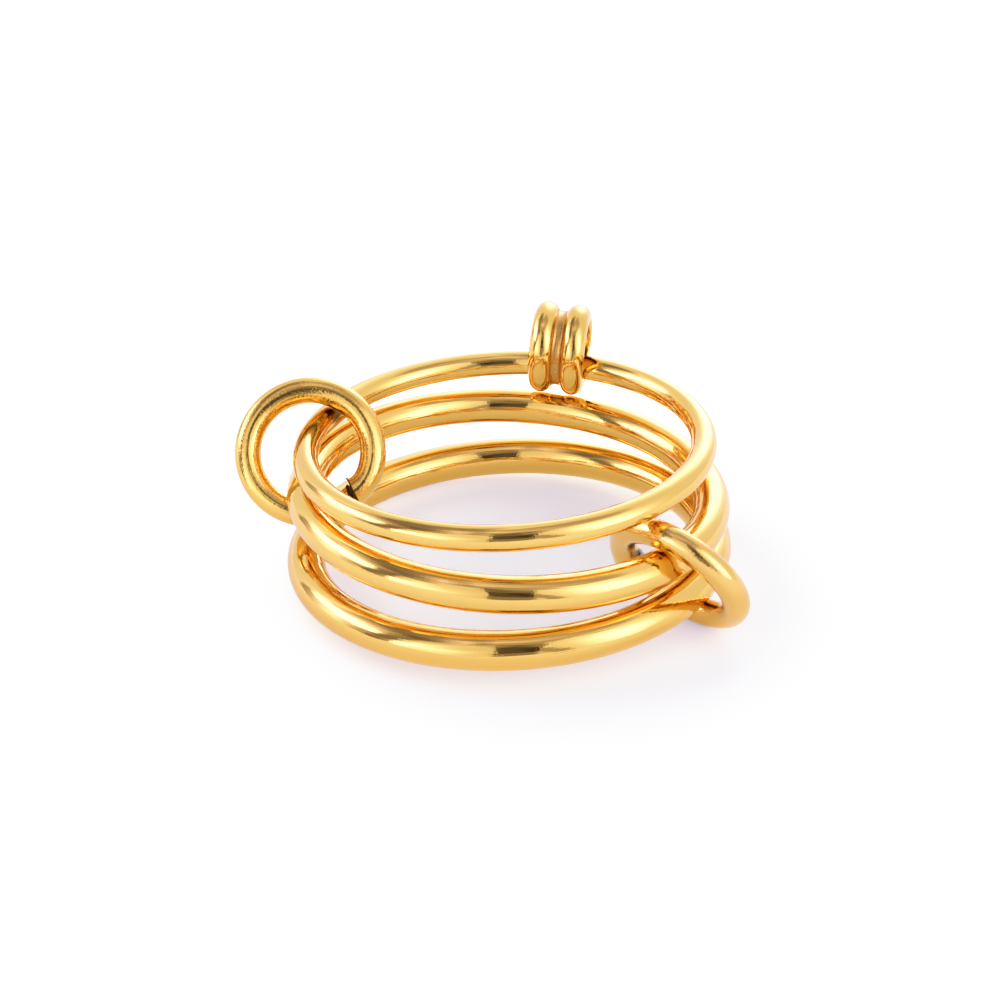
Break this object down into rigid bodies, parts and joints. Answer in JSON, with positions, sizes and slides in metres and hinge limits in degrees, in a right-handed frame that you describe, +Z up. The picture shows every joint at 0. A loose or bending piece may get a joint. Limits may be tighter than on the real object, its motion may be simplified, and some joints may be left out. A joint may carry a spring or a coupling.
{
  "type": "fidget ring",
  "caption": "Stack of loose round-wire finger bands linked by jump rings, with a ridged bead that slides round the top band to be fiddled with.",
  "frame": {"origin": "on the surface that the ring lies on, under the middle of its box", "axes": "+Z up, roughly along the finger hole; +X from the left jump ring's side to the right one's; -Y faces the camera of the picture"},
  "size_m": [0.024, 0.023, 0.0094],
  "materials": {
    "band_gold": "gold-plated stainless steel, mirror polished",
    "link_gold": "gold-plated stainless steel wire, polished with light scuffs",
    "bead_gold": "gold-plated stainless steel, turned and polished"
  },
  "bodies": {
    "linked_bands": {"top_band": "band_gold", "middle_band": "band_gold", "bottom_band": "band_gold", "left_link": "link_gold", "right_link": "link_gold"},
    "bead": {"ridged_bead": "bead_gold"}
  },
  "joints": [
    {"name": "bead_slide", "type": "hinge", "parent": "linked_bands", "child": "bead", "pos_m": [0.00083, -0.00018, 0.00653], "axis": [0.0601, -0.0319, -0.9977], "range_deg": [0, 95]}
  ]
}
